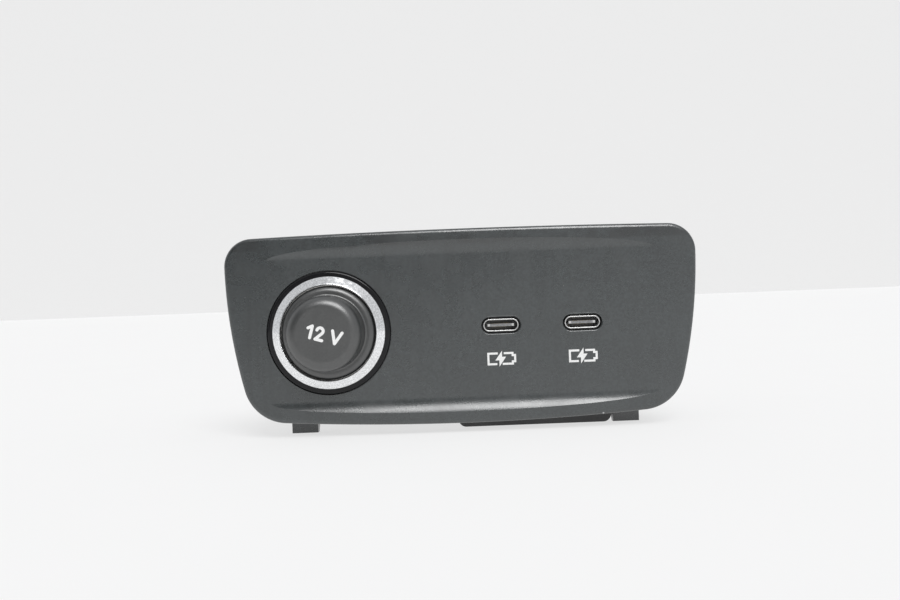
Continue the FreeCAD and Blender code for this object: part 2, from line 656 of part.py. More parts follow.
def socket_sleeve():
    """Collar and tube in one moulding, with two snap tongues and two nubs for the rear connector."""
    land_end = RING_SEAT_Y + BARREL_WALL + NEST_GAP + LAND_LENGTH
    lip_seat = RING_SEAT_Y + BARREL_WALL + NEST_GAP
    ring_seat = RING_OUTER_RADIUS + NEST_GAP
    lip_bore = BARREL_LIP_RADIUS + NEST_GAP
    land_bore = BARREL_RADIUS + BARREL_GAP
    corners = [
        (ring_seat, COLLAR_FRONT_Y, 0),
        (COLLAR_RADIUS, COLLAR_FRONT_Y, COLLAR_ROUND),
        (COLLAR_RADIUS, COLLAR_SEAT_Y, 0),
        (SLEEVE_RADIUS, COLLAR_SEAT_Y, 0),
        (SLEEVE_RADIUS, SLEEVE_END_Y, 0),
        (SLEEVE_BORE, SLEEVE_END_Y, 0),
        (SLEEVE_BORE, land_end, 0),
        (land_bore, land_end, 0),
        (land_bore, lip_seat, BARREL_BEND + NEST_GAP),
        (lip_bore, lip_seat, 0),
        (lip_bore, RING_SEAT_Y, 0),
        (ring_seat, RING_SEAT_Y, 0),
    ]
    sleeve = turned(corners, SOCKET_X, SOCKET_Z)
    catch_y = BOSS_END_Y + NEST_GAP
    half = TONGUE_WIDTH / 2
    for side in (-1, 1):
        inner = SOCKET_X + side * (SLEEVE_RADIUS - 2 * SLEEVE_WALL)
        outer = SOCKET_X + side * (SLEEVE_RADIUS + SLEEVE_WALL)
        reach = sorted((inner, outer))
        window = box(
            *reach,
            catch_y - TONGUE_SLIT,
            catch_y + TONGUE_LENGTH,
            SOCKET_Z - half - TONGUE_SLIT,
            SOCKET_Z + half + TONGUE_SLIT,
        )
        spring = box(*reach, catch_y, catch_y + TONGUE_LENGTH, SOCKET_Z - half, SOCKET_Z + half)
        sleeve = sleeve.cut(window.cut(spring))
        root = SLEEVE_RADIUS - SLEEVE_WALL / 2
        ramp = [
            (root, catch_y, 0),
            (SLEEVE_RADIUS + TONGUE_CATCH, catch_y, 0),
            (SLEEVE_RADIUS + TONGUE_CATCH, catch_y + TONGUE_RAMP / 4, 0),
            (root, catch_y + TONGUE_RAMP, 0),
        ]
        wire = rounded_wire(ramp, lambda r, y: V(SOCKET_X + side * r, y, SOCKET_Z - half))
        sleeve = sleeve.fuse(Part.Face(wire).extrude(V(0, 0, TONGUE_WIDTH)))
    for side in (-1, 1):
        end_y = SLEEVE_END_Y - NUB_SETBACK
        root = SLEEVE_RADIUS - SLEEVE_WALL / 2
        ramp = [
            (root, end_y - NUB_LENGTH, 0),
            (SLEEVE_RADIUS + NUB_RISE, end_y - NUB_LENGTH, 0),
            (root, end_y, 0),
        ]
        start = SOCKET_X - NUB_WIDTH / 2
        wire = rounded_wire(ramp, lambda r, y: V(start, y, SOCKET_Z + side * r))
        sleeve = sleeve.fuse(Part.Face(wire).extrude(V(NUB_WIDTH, 0, 0)))
    return sleeve.removeSplitter()


def trim_ring():
    front = COLLAR_FRONT_Y - RING_PROUD
    corners = [
        (RING_INNER_RADIUS, RING_SEAT_Y, 0),
        (RING_INNER_RADIUS, front - RING_RISE, RING_ROUND),
        (RING_OUTER_RADIUS, front, RING_ROUND),
        (RING_OUTER_RADIUS, RING_SEAT_Y, 0),
    ]
    return turned(corners, SOCKET_X, SOCKET_Z)


def socket_barrel():
    """Drawn can: lip at the mouth, bead half way down, stepped end with a hole."""
    middle = BORE_RADIUS + BARREL_WALL / 2
    lip_y = RING_SEAT_Y + BARREL_WALL / 2
    bead_y = RING_SEAT_Y + BEAD_DEPTH
    step_y = BARREL_END_Y - STEP_LENGTH
    path = [
        (BARREL_LIP_RADIUS, lip_y),
        (middle, lip_y),
        (middle, bead_y - BEAD_WIDTH / 2),
        (middle + BEAD_RISE, bead_y - BEAD_WIDTH / 4),
        (middle + BEAD_RISE, bead_y + BEAD_WIDTH / 4),
        (middle, bead_y + BEAD_WIDTH / 2),
        (middle, step_y),
        (middle - STEP_IN, step_y + STEP_IN),
        (middle - STEP_IN, BARREL_END_Y - BARREL_WALL / 2),
        (END_HOLE_RADIUS, BARREL_END_Y - BARREL_WALL / 2),
    ]
    return turned(strip_corners(path, BARREL_BEND, BARREL_WALL), SOCKET_X, SOCKET_Z)


def contact_insulator():
    """Flanged bush that keeps the centre contact clear of the barrel's end."""
    floor_y = BARREL_END_Y - BARREL_WALL
    bore = RIVET_RADIUS + NEST_GAP
    corners = [
        (bore, floor_y - INSULATOR_WALL, 0),
        (INSULATOR_RADIUS, floor_y - INSULATOR_WALL, 0),
        (INSULATOR_RADIUS, floor_y, 0),
        (END_HOLE_RADIUS - NEST_GAP, floor_y, 0),
        (END_HOLE_RADIUS - NEST_GAP, BARREL_END_Y, 0),
        (bore, BARREL_END_Y, 0),
    ]
    return turned(corners, SOCKET_X, SOCKET_Z)


def centre_contact():
    """Contact rivet: domed head inside the barrel, shank, and upset tail behind the terminal."""
    head_y = BARREL_END_Y - BARREL_WALL - INSULATOR_WALL
    corners = [
        (0, head_y - RIVET_HEAD, 0),
        (RIVET_HEAD_RADIUS, head_y - RIVET_HEAD, RIVET_ROUND),
        (RIVET_HEAD_RADIUS, head_y, 0),
        (RIVET_RADIUS, head_y, 0),
        (RIVET_RADIUS, TAIL_Y, 0),
        (RIVET_TAIL_RADIUS, TAIL_Y, 0),
        (RIVET_TAIL_RADIUS, TAIL_Y + RIVET_TAIL, RIVET_ROUND),
        (0, TAIL_Y + RIVET_TAIL, 0),
    ]
    return turned(corners, SOCKET_X, SOCKET_Z)


def rear_insulator():
    bore = RIVET_RADIUS + NEST_GAP
    return tube(REAR_WASHER_RADIUS, bore, BARREL_END_Y, WASHER_END_Y, SOCKET_X, SOCKET_Z)


def terminal_strip(path):
    """Bent blade of the socket connector; path holds (x from the socket axis, y)."""
    corners = strip_corners(path, BLADE_BEND, BLADE_THICKNESS)
    low = SOCKET_Z - BLADE_WIDTH / 2
    face = Part.Face(rounded_wire(corners, lambda u, y: V(SOCKET_X + u, y, low)))
    return face.extrude(V(0, 0, BLADE_WIDTH))


def positive_terminal():
    """Eyelet under the rivet's tail, bent to a blade."""
    plane_y = WASHER_END_Y + BLADE_THICKNESS / 2
    blade = terminal_strip([(0, plane_y), (BLADE_X, plane_y), (BLADE_X, BLADE_TIP_Y)])
    eyelet = rod(BLADE_WIDTH / 2, WASHER_END_Y, TAIL_Y, SOCKET_X, SOCKET_Z)
    hole = rod(RIVET_RADIUS + NEST_GAP, WASHER_END_Y, TAIL_Y, SOCKET_X, SOCKET_Z)
    return blade.fuse(eyelet).cut(hole).removeSplitter()


def negative_terminal():
    """Foot welded to the barrel's end, bent to a blade."""
    plane_y = BARREL_END_Y + BLADE_THICKNESS / 2
    foot_x = BLADE_X + FOOT_LENGTH
    return terminal_strip([(-foot_x, plane_y), (-BLADE_X, plane_y), (-BLADE_X, BLADE_TIP_Y)])


def socket_connector():
    """Rear cap that laps the sleeve's end and carries the plug shroud round both blades."""
    outer = SLEEVE_RADIUS + CUP_GAP + CUP_WALL
    corners = [
        (SLEEVE_RADIUS + CUP_GAP, SLEEVE_END_Y - CUP_LAP, 0),
        (outer, SLEEVE_END_Y - CUP_LAP, 0),
        (outer, CUP_END_Y, CUP_WALL),
        (0, CUP_END_Y, 0),
        (0, CUP_WALL_Y, 0),
        (SLEEVE_BORE, CUP_WALL_Y, 0),
        (SLEEVE_BORE, SLEEVE_END_Y, 0),
        (SLEEVE_RADIUS + CUP_GAP, SLEEVE_END_Y, 0),
    ]
    cup = turned(corners, SOCKET_X, SOCKET_Z)
    across = SHROUD_WIDTH / 2
    upright = SHROUD_HEIGHT / 2
    end_y = CUP_END_Y + SHROUD_LENGTH
    shroud = rounded_box(
        SOCKET_X - across,
        SOCKET_X + across,
        CUP_WALL_Y,
        end_y,
        SOCKET_Z - upright,
        SOCKET_Z + upright,
        SHROUD_ROUND,
    )
    cavity = rounded_box(
        SOCKET_X - across + SHROUD_WALL,
        SOCKET_X + across - SHROUD_WALL,
        CUP_END_Y,
        end_y,
        SOCKET_Z - upright + SHROUD_WALL,
        SOCKET_Z + upright - SHROUD_WALL,
        SHROUD_ROUND / 2,
    )
    body = cup.fuse(shroud.cut(cavity))
    cuts = []
    for x in (SOCKET_X - BLADE_X, SOCKET_X + BLADE_X):
        across_blade = BLADE_THICKNESS / 2 + NEST_GAP
        up_blade = BLADE_WIDTH / 2 + NEST_GAP
        cuts.append(
            box(
                x - across_blade,
                x + across_blade,
                CUP_WALL_Y,
                CUP_END_Y,
                SOCKET_Z - up_blade,
                SOCKET_Z + up_blade,
            )
        )
    nub_end = SLEEVE_END_Y - NUB_SETBACK
    wide = NUB_WIDTH / 2 + CUP_GAP
    cuts.append(
        box(
            SOCKET_X - wide,
            SOCKET_X + wide,
            nub_end - NUB_LENGTH - CUP_GAP,
            nub_end + CUP_GAP,
            SOCKET_Z - 2 * outer,
            SOCKET_Z + 2 * outer,
        )
    )
    latch = [
        (upright - SHROUD_WALL / 2, end_y - LATCH_LENGTH, 0),
        (upright + LATCH_RISE, end_y - LATCH_LENGTH, 0),
        (upright, end_y, 0),
        (upright - SHROUD_WALL / 2, end_y, 0),
    ]
    start = SOCKET_X - LATCH_WIDTH / 2
    wire = rounded_wire(latch, lambda u, y: V(start, y, SOCKET_Z + u))
    body = body.fuse(Part.Face(wire).extrude(V(LATCH_WIDTH, 0, 0)))
    return body.cut(cuts).removeSplitter()


def socket_cap():
    """Push-in cap: grip knob, flange over the mouth, and a slotted hollow plug."""
    flange_front = FLANGE_Y - CAP_FLANGE
    face_y = flange_front - KNOB_HEIGHT
    bead_y = PLUG_END_Y - PLUG_LEAD - PLUG_BEAD_LENGTH
    inner = PLUG_RADIUS - CAP_WALL
    corners = [
        (0, face_y, 0),
        (KNOB_RADIUS, face_y, KNOB_ROUND),
        (KNOB_RADIUS, flange_front, KNOB_GROOVE),
        (CAP_FLANGE_RADIUS, flange_front, CAP_FLANGE_ROUND),
        (CAP_FLANGE_RADIUS, FLANGE_Y, 0),
        (PLUG_RADIUS, FLANGE_Y, 0),
        (PLUG_RADIUS, bead_y, 0),
        (PLUG_RADIUS + PLUG_BEAD, bead_y + PLUG_BEAD_LENGTH / 2, 0),
        (PLUG_RADIUS + PLUG_BEAD, PLUG_END_Y - PLUG_LEAD, 0),
        (PLUG_RADIUS - CAP_WALL / 2, PLUG_END_Y, 0),
        (inner, PLUG_END_Y, 0),
        (inner, FLANGE_Y, 0),
        (KNOB_RADIUS - CAP_WALL, flange_front, 0),
        (KNOB_RADIUS - CAP_WALL, face_y + CAP_WALL, KNOB_ROUND - CAP_WALL),
        (0, face_y + CAP_WALL, 0),
    ]
    cap = turned(corners, SOCKET_X, SOCKET_Z)
    half = PLUG_SLOT / 2
    reach = 2 * PLUG_RADIUS
    start = PLUG_END_Y - PLUG_SLOT_LENGTH
    across = box(
        SOCKET_X - reach, SOCKET_X + reach, start, PLUG_END_Y, SOCKET_Z - half, SOCKET_Z + half
    )
    upright = box(
        SOCKET_X - half, SOCKET_X + half, start, PLUG_END_Y, SOCKET_Z - reach, SOCKET_Z + reach
    )
    return cap.cut([across, upright]).removeSplitter()


# Charger module


def usb_shell(x):
    shell = stadium(SHELL_WIDTH, SHELL_HEIGHT, SHELL_FRONT_Y, BOARD_Y, x, PORT_Z)
    inside = stadium(
        SHELL_WIDTH - 2 * SHELL_WALL,
        SHELL_HEIGHT - 2 * SHELL_WALL,
        SHELL_FRONT_Y,
        BOARD_Y,
        x,
        PORT_Z,
    )
    shell = shell.cut(inside)
    mouth = [e for e in shell.Edges if e.BoundBox.YMax < SHELL_FRONT_Y + SHELL_WALL]
    return shell.makeFillet(SHELL_ROUND, mouth)


def usb_mid_plate(x):
    """Plate in the middle of the tongue, with a rail on each side that shows at the tongue's ends."""
    tip = SHELL_FRONT_Y + TONGUE_SETBACK
    half = TONGUE_PLATE_WIDTH / 2
    rise = MID_PLATE / 2
    plate = box(x - half, x + half, tip + RAIL_WIDTH, BOARD_Y, PORT_Z - rise, PORT_Z + rise)
    rise = RAIL_HEIGHT / 2
    for side in (-1, 1):
        reach = sorted((x + side * half, x + side * (half + RAIL_WIDTH)))
        plate = plate.fuse(box(*reach, tip, tip + RAIL_LENGTH, PORT_Z - rise, PORT_Z + rise))
    return plate.removeSplitter()


def usb_contacts(x):
    """Contact strips let into both faces of the tongue."""
    tip = SHELL_FRONT_Y + TONGUE_SETBACK + CONTACT_SETBACK
    face = TONGUE_PLATE_HEIGHT / 2
    strips = []
    for level in (-1, 1):
        reach = sorted(
            (PORT_Z + level * (face - CONTACT_DEPTH), PORT_Z + level * (face + CONTACT_PROUD))
        )
        for i in range(CONTACT_COUNT):
            middle = x + (i - (CONTACT_COUNT - 1) / 2) * CONTACT_PITCH
            half = CONTACT_WIDTH / 2
            strips.append(box(middle - half, middle + half, tip, BOARD_Y, *reach))
    return Part.makeCompound(strips)


def usb_tongue(x):
    """Base that fills the shell's rear, with the contact tongue standing on it."""
    tip = SHELL_FRONT_Y + TONGUE_SETBACK
    base = stadium(
        SHELL_WIDTH - 2 * SHELL_WALL - 2 * NEST_GAP,
        SHELL_HEIGHT - 2 * SHELL_WALL - 2 * NEST_GAP,
        BOARD_Y - TONGUE_BASE,
        BOARD_Y,
        x,
        PORT_Z,
    )
    half = TONGUE_PLATE_WIDTH / 2
    rise = TONGUE_PLATE_HEIGHT / 2
    plate = box(x - half, x + half, tip, BOARD_Y, PORT_Z - rise, PORT_Z + rise)
    tongue = base.fuse(plate)
    return tongue.cut([usb_mid_plate(x)] + usb_contacts(x).Solids).removeSplitter()


def usb_front_cover():
    """Stepped lid: block behind the panel with the port holes, and the flange that closes the housing."""
    x0 = MODULE_X - MODULE_HALF
    x1 = MODULE_X + MODULE_HALF
    block = rounded_box(x0, x1, BACK_Y, HOUSING_Y, -BLOCK_HALF, BLOCK_HALF, BLOCK_ROUND)
    flange = rounded_box(x0, x1, LID_Y, HOUSING_Y, FLOOR_Z, MODULE_TOP_Z, MODULE_ROUND)
    ears = box(
        x0 - EAR_REACH,
        x1 + EAR_REACH,
        LID_Y,
        HOUSING_Y,
        PORT_Z - EAR_WIDTH / 2,
        PORT_Z + EAR_WIDTH / 2,
    )
    hollow = rounded_box(
        x0 + MODULE_WALL,
        x1 - MODULE_WALL,
        BACK_Y + MODULE_WALL,
        HOUSING_Y,
        MODULE_WALL - BLOCK_HALF,
        BLOCK_HALF - MODULE_WALL,
        BLOCK_ROUND,
    )
    cover = block.multiFuse([flange, ears]).cut(hollow)
    posts = [rod(POST_RADIUS, BACK_Y + MODULE_WALL / 2, BOARD_Y, x, z) for x, z in SCREW_SPOTS]
    cover = cover.multiFuse(posts)
    pilots = [rod(SCREW_RADIUS, BOARD_Y - SCREW_BITE, BOARD_Y, x, z) for x, z in SCREW_SPOTS]
    ports = [
        stadium(
            SHELL_WIDTH + 2 * SHELL_GAP,
            SHELL_HEIGHT + 2 * SHELL_GAP,
            BACK_Y,
            BACK_Y + MODULE_WALL,
            x,
            PORT_Z,
        )
        for x in PORT_XS.values()
    ]
    return cover.cut(pilots + ports).removeSplitter()


def usb_circuit_board():
    inset = MODULE_WALL + BOARD_GAP
    board = rounded_box(
        MODULE_X - MODULE_HALF + inset,
        MODULE_X + MODULE_HALF - inset,
        BOARD_Y,
        BOARD_REAR_Y,
        inset - BLOCK_HALF,
        BLOCK_HALF - inset,
        BLOCK_ROUND,
    )
    holes = [rod(SCREW_RADIUS + NEST_GAP, BOARD_Y, BOARD_REAR_Y, x, z) for x, z in SCREW_SPOTS]
    return board.cut(holes)


def usb_rear_housing():
    """Deep housing with four screw wells and the shroud of the supply connector."""
    x0 = MODULE_X - MODULE_HALF
    x1 = MODULE_X + MODULE_HALF
    body = rounded_box(x0, x1, HOUSING_Y, HOUSING_END_Y, FLOOR_Z, MODULE_TOP_Z, MODULE_ROUND)
    rear_edges = [e for e in body.Edges if e.BoundBox.YMin > HOUSING_END_Y - MODULE_WALL]
    body = body.makeFillet(MODULE_WALL / 2, rear_edges)
    hollow = rounded_box(
        x0 + MODULE_WALL,
        x1 - MODULE_WALL,
        HOUSING_Y,
        HOUSING_END_Y - MODULE_WALL,
        FLOOR_Z + MODULE_WALL,
        MODULE_TOP_Z - MODULE_WALL,
        MODULE_ROUND / 2,
    )
    body = body.cut(hollow)
    well_floor = BOARD_REAR_Y + WELL_FLOOR
    wells = [
        rod(WELL_RADIUS + WELL_WALL, BOARD_REAR_Y, HOUSING_END_Y - MODULE_WALL / 2, x, z)
        for x, z in SCREW_SPOTS
    ]
    across = PLUG_CAVITY_WIDTH / 2
    upright = PLUG_CAVITY_HEIGHT / 2
    shroud_end = HOUSING_END_Y + PLUG_SHROUD_LENGTH
    shroud = rounded_box(
        MODULE_X - across - PLUG_SHROUD_WALL,
        MODULE_X + across + PLUG_SHROUD_WALL,
        HOUSING_END_Y - MODULE_WALL / 2,
        shroud_end,
        PIN_Z - upright - PLUG_SHROUD_WALL,
        PIN_Z + upright + PLUG_SHROUD_WALL,
        PLUG_SHROUD_WALL,
    )
    top = PIN_Z + upright + PLUG_SHROUD_WALL
    latch = [
        (top - PLUG_SHROUD_WALL / 2, shroud_end - LATCH_LENGTH, 0),
        (top + LATCH_RISE, shroud_end - LATCH_LENGTH, 0),
        (top, shroud_end, 0),
        (top - PLUG_SHROUD_WALL / 2, shroud_end, 0),
    ]
    start = MODULE_X - LATCH_WIDTH / 2
    wire = rounded_wire(latch, lambda z, y: V(start, y, z))
    catch = Part.Face(wire).extrude(V(LATCH_WIDTH, 0, 0))
    body = body.multiFuse(wells + [shroud, catch])
    cuts = [
        rounded_box(
            MODULE_X - across,
            MODULE_X + across,
            HOUSING_END_Y,
            shroud_end,
            PIN_Z - upright,
            PIN_Z + upright,
            PLUG_SHROUD_WALL / 2,
        )
    ]
    for x, z in SCREW_SPOTS:
        cuts.append(rod(WELL_RADIUS, well_floor, HOUSING_END_Y, x, z))
        cuts.append(rod(SCREW_RADIUS + NEST_GAP, BOARD_REAR_Y, well_floor, x, z))
    hole = PIN_SIZE / 2 + NEST_GAP
    for x in row_places(PIN_COUNT, PIN_PITCH):
        cuts.append(
            box(x - hole, x + hole, BOARD_REAR_Y, HOUSING_END_Y, PIN_Z - hole, PIN_Z + hole)
        )
    return body.cut(cuts).removeSplitter()


def row_places(count, pitch):
    """X places of a row of like parts about the module's middle."""
    return [MODULE_X + (i - (count - 1) / 2) * pitch for i in range(count)]


def connector_pins():
    half = PIN_SIZE / 2
    tip = HOUSING_END_Y + PIN_TIP
    places = row_places(PIN_COUNT, PIN_PITCH)
    return Part.makeCompound(
        [box(x - half, x + half, BOARD_REAR_Y, tip, PIN_Z - half, PIN_Z + half) for x in places]
    )


def module_screws():
    """Cross-head screws whose heads sit at the bottom of the housing's wells."""
    seat = BOARD_REAR_Y + WELL_FLOOR
    screws = []
    for x, z in SCREW_SPOTS:
        corners = [
            (0, BOARD_Y - SCREW_BITE, 0),
            (SCREW_RADIUS - NEST_GAP, BOARD_Y - SCREW_BITE, 0),
            (SCREW_RADIUS - NEST_GAP, seat, 0),
            (SCREW_HEAD_RADIUS, seat, 0),
            (SCREW_HEAD_RADIUS, seat + SCREW_HEAD, SCREW_HEAD / 2),
            (0, seat + SCREW_HEAD, 0),
        ]
        floor_y = seat + SCREW_HEAD - RECESS_DEPTH
        span = RECESS_SPAN / 2
        half = RECESS_WIDTH / 2
        top_y = seat + SCREW_HEAD
        recess = [
            box(x - span, x + span, floor_y, top_y, z - half, z + half),
            box(x - half, x + half, floor_y, top_y, z - span, z + span),
        ]
        screws.append(turned(corners, x, z).cut(recess))
    return Part.makeCompound(screws)


def power_inductors():
    half = INDUCTOR_SIZE / 2
    return Part.makeCompound(
        [
            rounded_box(
                x - half,
                x + half,
                BOARD_REAR_Y,
                BOARD_REAR_Y + INDUCTOR_HEIGHT,
                INDUCTOR_Z - half,
                INDUCTOR_Z + half,
                half / 2,
            )
            for x in row_places(INDUCTOR_COUNT, INDUCTOR_PITCH)
        ]
    )


def bulk_capacitors():
    places = row_places(CAPACITOR_COUNT, CAPACITOR_PITCH)
    return Part.makeCompound(
        [rod(CAPACITOR_RADIUS, BOARD_REAR_Y, BOARD_REAR_Y + CAPACITOR_HEIGHT, x, 0) for x in places]
    )


def controller_chips():
    half = CHIP_SIZE / 2
    places = row_places(CHIP_COUNT, CHIP_PITCH)
    return Part.makeCompound(
        [
            box(
                x - half,
                x + half,
                BOARD_REAR_Y,
                BOARD_REAR_Y + CHIP_HEIGHT,
                CHIP_Z - half,
                CHIP_Z + half,
            )
            for x in places
        ]
    )


def build():
    nodes = {
        "front_panel": front_panel(),
        "spring_clip_left": spring_clip(-TOWER_X),
        "spring_clip_right": spring_clip(TOWER_X),
        "socket_sleeve": socket_sleeve(),
        "trim_ring": trim_ring(),
        "socket_barrel": socket_barrel(),
        "contact_insulator": contact_insulator(),
        "centre_contact": centre_contact(),
        "rear_insulator": rear_insulator(),
        "positive_terminal": positive_terminal(),
        "negative_terminal": negative_terminal(),
        "socket_connector": socket_connector(),
        "socket_cap": socket_cap(),
        "usb_front_cover": usb_front_cover(),
        "usb_rear_housing": usb_rear_housing(),
        "usb_circuit_board": usb_circuit_board(),
        "power_inductors": power_inductors(),
        "bulk_capacitors": bulk_capacitors(),
        "controller_chips": controller_chips(),
        "connector_pins": connector_pins(),
        "module_screws": module_screws(),
    }
    for side, x in PORT_XS.items():
        nodes["usb_shell_" + side] = usb_shell(x)
        nodes["usb_tongue_" + side] = usb_tongue(x)
        nodes["usb_mid_plate_" + side] = usb_mid_plate(x)
        nodes["usb_contacts_" + side] = usb_contacts(x)
    return nodes


os.makedirs("parts", exist_ok=True)
for name, shape in build().items():
    shape.exportStep("parts/" + name + ".step")
    print(name, len(shape.Solids), shape.isValid(), round(shape.Volume, 2))
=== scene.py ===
"""Looks of a car console panel: materials, printed marks, rounded slot edges and a plain studio."""

import math

import bmesh
import bpy
from mathutils import Matrix, Vector


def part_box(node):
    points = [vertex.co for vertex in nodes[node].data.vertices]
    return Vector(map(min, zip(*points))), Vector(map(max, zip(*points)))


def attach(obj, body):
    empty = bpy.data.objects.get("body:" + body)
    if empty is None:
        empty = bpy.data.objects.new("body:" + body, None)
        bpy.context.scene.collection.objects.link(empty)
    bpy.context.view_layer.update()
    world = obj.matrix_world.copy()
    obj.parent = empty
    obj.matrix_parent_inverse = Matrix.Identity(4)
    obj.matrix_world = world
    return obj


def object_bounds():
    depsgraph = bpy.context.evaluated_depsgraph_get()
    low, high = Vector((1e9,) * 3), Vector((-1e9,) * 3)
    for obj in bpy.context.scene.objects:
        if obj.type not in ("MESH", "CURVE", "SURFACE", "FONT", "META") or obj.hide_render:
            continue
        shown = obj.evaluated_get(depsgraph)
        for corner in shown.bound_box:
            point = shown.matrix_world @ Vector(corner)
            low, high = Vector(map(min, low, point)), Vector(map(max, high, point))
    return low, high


MM = 0.001

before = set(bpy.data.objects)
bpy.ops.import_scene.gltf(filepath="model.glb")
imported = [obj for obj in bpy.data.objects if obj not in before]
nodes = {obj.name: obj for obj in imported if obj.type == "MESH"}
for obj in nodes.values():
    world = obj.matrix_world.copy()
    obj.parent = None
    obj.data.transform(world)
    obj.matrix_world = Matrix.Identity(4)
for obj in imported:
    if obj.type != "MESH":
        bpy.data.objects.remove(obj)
cad_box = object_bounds()
PANEL_BODY = "console_panel"
CAP_BODY = "cap"

# Places taken from the solids, in metres
shell_boxes = [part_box("usb_shell_left"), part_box("usb_shell_right")]
ring_low, ring_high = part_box("trim_ring")
SOCKET_X = (ring_low.x + ring_high.x) / 2
SOCKET_Z = (ring_low.z + ring_high.z) / 2
CAP_FACE_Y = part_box("socket_cap")[0].y
SHELL_SETBACK = 0.4 * MM  # shell mouth behind the flat field
FIELD_Y = shell_boxes[0][0].y - SHELL_SETBACK
FLOOR_Z = cad_box[0][2]


# Shader helpers


NOISE_SPAN = (0.3, 0.7)  # nearly all values of a cloudy pattern lie in here
MIX_COLOURS_IN = (6, 7)  # sockets of a mix node that carry its colours
MIX_COLOUR_OUT = 2


def new_material(name, colour, roughness, metallic=0.0, specular=0.5):
    """Material with a plain shader; returns its tree and shader for the detail that follows."""
    material = bpy.data.materials.new(name)
    material.use_nodes = True
    tree = material.node_tree
    shader = tree.nodes["Principled BSDF"]
    shader.inputs["Base Color"].default_value = (*colour, 1)
    shader.inputs["Roughness"].default_value = roughness
    shader.inputs["Metallic"].default_value = metallic
    shader.inputs["Specular IOR Level"].default_value = specular
    return material, tree, shader


def add_node(tree, kind, **values):
    """New node; values set sockets by name (spaces as _) or else the node's own properties."""
    node = tree.nodes.new(kind)
    for key, value in values.items():
        socket = node.inputs.get(key.replace("_", " "))
        if socket is not None:
            socket.default_value = value
        else:
            setattr(node, key, value)
    return node


def stretched(tree, scale=(1, 1, 1)):
    """Object coordinates in metres, stretched per axis."""
    coordinates = add_node(tree, "ShaderNodeTexCoord")
    mapping = add_node(tree, "ShaderNodeMapping", Scale=scale)
    tree.links.new(coordinates.outputs["Object"], mapping.inputs["Vector"])
    return mapping.outputs["Vector"]


def noise(tree, size, detail, rough, scale=(1, 1, 1)):
    """Cloudy pattern whose blobs are about size metres across."""
    node = add_node(tree, "ShaderNodeTexNoise", Scale=1 / size, Detail=detail, Roughness=rough)
    tree.links.new(stretched(tree, scale), node.inputs["Vector"])
    return node.outputs["Fac"]


def cells(tree, size, feature="F1"):
    """Pebbled pattern with cells about size metres across."""
    node = add_node(tree, "ShaderNodeTexVoronoi", Scale=1 / size, feature=feature)
    tree.links.new(stretched(tree), node.inputs["Vector"])
    return node.outputs["Distance"]


def remap(tree, value, low, high, to_low, to_high):
    """Value between low and high carried over to the span from to_low to to_high."""
    node = add_node(
        tree, "ShaderNodeMapRange", From_Min=low, From_Max=high, To_Min=to_low, To_Max=to_high
    )
    node.interpolation_type = "SMOOTHSTEP"
    tree.links.new(value, node.inputs["Value"])
    return node.outputs["Result"]


def clouds(tree, size, detail, rough, span=NOISE_SPAN, to=(0, 1), scale=(1, 1, 1)):
    """Cloudy pattern, with its values within span spread over the values in to."""
    return remap(tree, noise(tree, size, detail, rough, scale), *span, *to)


def motes(tree, spacing, size):
    """Scattered round specks, one to a cell; size is a share of the spacing."""
    return remap(tree, cells(tree, spacing), 0, size, 1, 0)


def combine(tree, operation, first, second):
    """Arithmetic on two values; either may be a plain number."""
    node = add_node(tree, "ShaderNodeMath", operation=operation)
    for socket, value in zip(node.inputs, (first, second)):
        if isinstance(value, (int, float)):
            socket.default_value = value
        else:
            tree.links.new(value, socket)
    return node.outputs["Value"]


def tint(tree, factor, first, second):
    """Colour that runs from first to second with factor; either may be a link."""
    node = add_node(tree, "ShaderNodeMix", data_type="RGBA")
    tree.links.new(factor, node.inputs["Factor"])
    for index, value in zip(MIX_COLOURS_IN, (first, second)):
        if isinstance(value, tuple):
            node.inputs[index].default_value = (*value, 1)
        else:
            tree.links.new(value, node.inputs[index])
    return node.outputs[MIX_COLOUR_OUT]


def scaled(colour, factor):
    """Colour made darker or lighter."""
    return tuple(c * factor for c in colour)


def shades(tree, factor, colour, low, high):
    """Shades of one colour, from low times to high times its tone."""
    return tint(tree, factor, scaled(colour, low), scaled(colour, high))


def dress(tree, shader, tone, relief, depth, sheen=None):
    """Gives a shader its tone, a relief of depth metres and, where there is one, an uneven sheen."""
    tree.links.new(tone, shader.inputs["Base Color"])
    if sheen is not None:
        tree.links.new(sheen, shader.inputs["Roughness"])
    bump = add_node(tree, "ShaderNodeBump", Distance=depth)
    tree.links.new(relief, bump.inputs["Height"])
    tree.links.new(bump.outputs["Normal"], shader.inputs["Normal"])


def seen_rays(tree):
    """1 for rays that show a surface to the eye, straight, mirrored or through glass, and 0 for the rest."""
    path = add_node(tree, "ShaderNodeLightPath")
    seen = combine(tree, "MAXIMUM", path.outputs["Is Camera Ray"], path.outputs["Is Glossy Ray"])
    return combine(tree, "MAXIMUM", seen, path.outputs["Is Transmission Ray"])


# Materials


# Painted shade along the crease under the panel's upper lip, and a pale chip on the lower lip
CREASE_SHADE_RISE = (20.2 * MM, 21.2 * MM)  # painted shade sets in over this height, just under the upper lip's crease, and stays up over the lip
CREASE_SHADE_SHARE = 0.85
CREASE_SHADE_TONE = 0.4
CHIP_AT = (34.6 * MM, 0, -23.3 * MM)  # pale chip on the lower lip, seen from the front
CHIP_RADIUS = 0.3 * MM
CHIP_GREY = (0.5, 0.5, 0.5)

# Wear and dust on moulded plastic
STREAK_SHARE = 0.45
STREAK_TONE = 0.6
DUST_GREY = (0.42, 0.42, 0.41)
FINE_GRAIN = 2.5  # times finer than the pebbles it lies on
FINE_SHARE = 0.6
GLOSS_DUST_GREY = (0.3, 0.3, 0.3)
GLOSS_DUST_SHARE = 0.25

# Stains on turned metal, and a board's tracks that show through its mask
STAIN_TONE = 0.6
TRACK_EDGE = (0.06, 0.12)
TRACK_SHARE = 0.45


